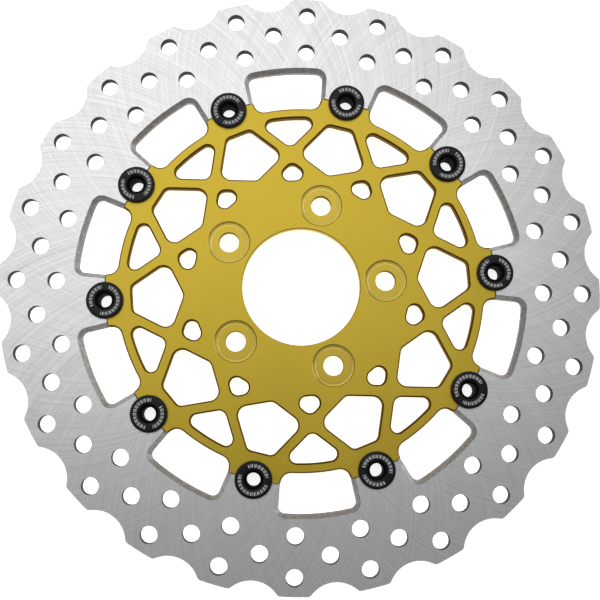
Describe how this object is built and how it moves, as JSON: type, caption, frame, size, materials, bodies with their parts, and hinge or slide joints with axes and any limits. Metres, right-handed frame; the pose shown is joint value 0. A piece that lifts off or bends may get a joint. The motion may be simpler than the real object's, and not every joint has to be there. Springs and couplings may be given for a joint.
{
  "type": "floating brake disc",
  "caption": "Floating motorcycle brake disc: lobed and drilled steel friction ring on a gold spoked carrier, joined by black drive buttons with washers and snap rings.",
  "frame": {"origin": "on the disc's axis, in the plane of the drive buttons' tail ends, on which the disc lies face up", "axes": "+Z along the wheel axis from the hub side towards the button heads; +X through button 1 and bolt hole 1; +Y a quarter turn anticlockwise from +X seen from the button heads"},
  "size_m": [0.2916, 0.2916, 0.0116],
  "materials": {
    "ground_stainless": "cross-ground stainless steel, fine crossing arcs left by the grinding wheel",
    "gold_anodised": "satin gold anodised aluminium with darker bevelled edges",
    "black_anodised": "satin black hard anodised aluminium with a ring of fine pale marks",
    "spring_steel": "dark phosphated spring steel",
    "washer_steel": "plain stainless steel"
  },
  "bodies": {
    "carrier": {"carrier": "gold_anodised"},
    "friction_ring": {"friction_ring": "ground_stainless"},
    "button_01": {"button_01": "black_anodised", "wave_washer_01": "spring_steel", "flat_washer_01": "washer_steel", "snap_ring_01": "spring_steel"},
    "button_02": {"button_02": "black_anodised", "wave_washer_02": "spring_steel", "flat_washer_02": "washer_steel", "snap_ring_02": "spring_steel"},
    "button_03": {"button_03": "black_anodised", "wave_washer_03": "spring_steel", "flat_washer_03": "washer_steel", "snap_ring_03": "spring_steel"},
    "button_04": {"button_04": "black_anodised", "wave_washer_04": "spring_steel", "flat_washer_04": "washer_steel", "snap_ring_04": "spring_steel"},
    "button_05": {"button_05": "black_anodised", "wave_washer_05": "spring_steel", "flat_washer_05": "washer_steel", "snap_ring_05": "spring_steel"},
    "button_06": {"button_06": "black_anodised", "wave_washer_06": "spring_steel", "flat_washer_06": "washer_steel", "snap_ring_06": "spring_steel"},
    "button_07": {"button_07": "black_anodised", "wave_washer_07": "spring_steel", "flat_washer_07": "washer_steel", "snap_ring_07": "spring_steel"},
    "button_08": {"button_08": "black_anodised", "wave_washer_08": "spring_steel", "flat_washer_08": "washer_steel", "snap_ring_08": "spring_steel"},
    "button_09": {"button_09": "black_anodised", "wave_washer_09": "spring_steel", "flat_washer_09": "washer_steel", "snap_ring_09": "spring_steel"},
    "button_10": {"button_10": "black_anodised", "wave_washer_10": "spring_steel", "flat_washer_10": "washer_steel", "snap_ring_10": "spring_steel"}
  },
  "joints": [
    {"name": "ring_float", "type": "slide", "parent": "carrier", "child": "friction_ring", "axis": [0, 0, 1], "range_m": [-0.0002, 0.0002], "stiffness_N_per_m": 150000},
    {"name": "button_01_spin", "type": "hinge", "parent": "carrier", "child": "button_01", "pos_m": [0.0948, 0, 0.00465], "axis": [0, 0, 1], "continuous": true},
    {"name": "button_02_spin", "type": "hinge", "parent": "carrier", "child": "button_02", "pos_m": [0.07669, 0.05572, 0.00465], "axis": [0, 0, 1], "continuous": true},
    {"name": "button_03_spin", "type": "hinge", "parent": "carrier", "child": "button_03", "pos_m": [0.0293, 0.09016, 0.00465], "axis": [0, 0, 1], "continuous": true},
    {"name": "button_04_spin", "type": "hinge", "parent": "carrier", "child": "button_04", "pos_m": [-0.0293, 0.09016, 0.00465], "axis": [0, 0, 1], "continuous": true},
    {"name": "button_05_spin", "type": "hinge", "parent": "carrier", "child": "button_05", "pos_m": [-0.07669, 0.05572, 0.00465], "axis": [0, 0, 1], "continuous": true},
    {"name": "button_06_spin", "type": "hinge", "parent": "carrier", "child": "button_06", "pos_m": [-0.0948, 0, 0.00465], "axis": [0, 0, 1], "continuous": true},
    {"name": "button_07_spin", "type": "hinge", "parent": "carrier", "child": "button_07", "pos_m": [-0.07669, -0.05572, 0.00465], "axis": [0, 0, 1], "continuous": true},
    {"name": "button_08_spin", "type": "hinge", "parent": "carrier", "child": "button_08", "pos_m": [-0.0293, -0.09016, 0.00465], "axis": [0, 0, 1], "continuous": true},
    {"name": "button_09_spin", "type": "hinge", "parent": "carrier", "child": "button_09", "pos_m": [0.0293, -0.09016, 0.00465], "axis": [0, 0, 1], "continuous": true},
    {"name": "button_10_spin", "type": "hinge", "parent": "carrier", "child": "button_10", "pos_m": [0.07669, -0.05572, 0.00465], "axis": [0, 0, 1], "continuous": true}
  ]
}
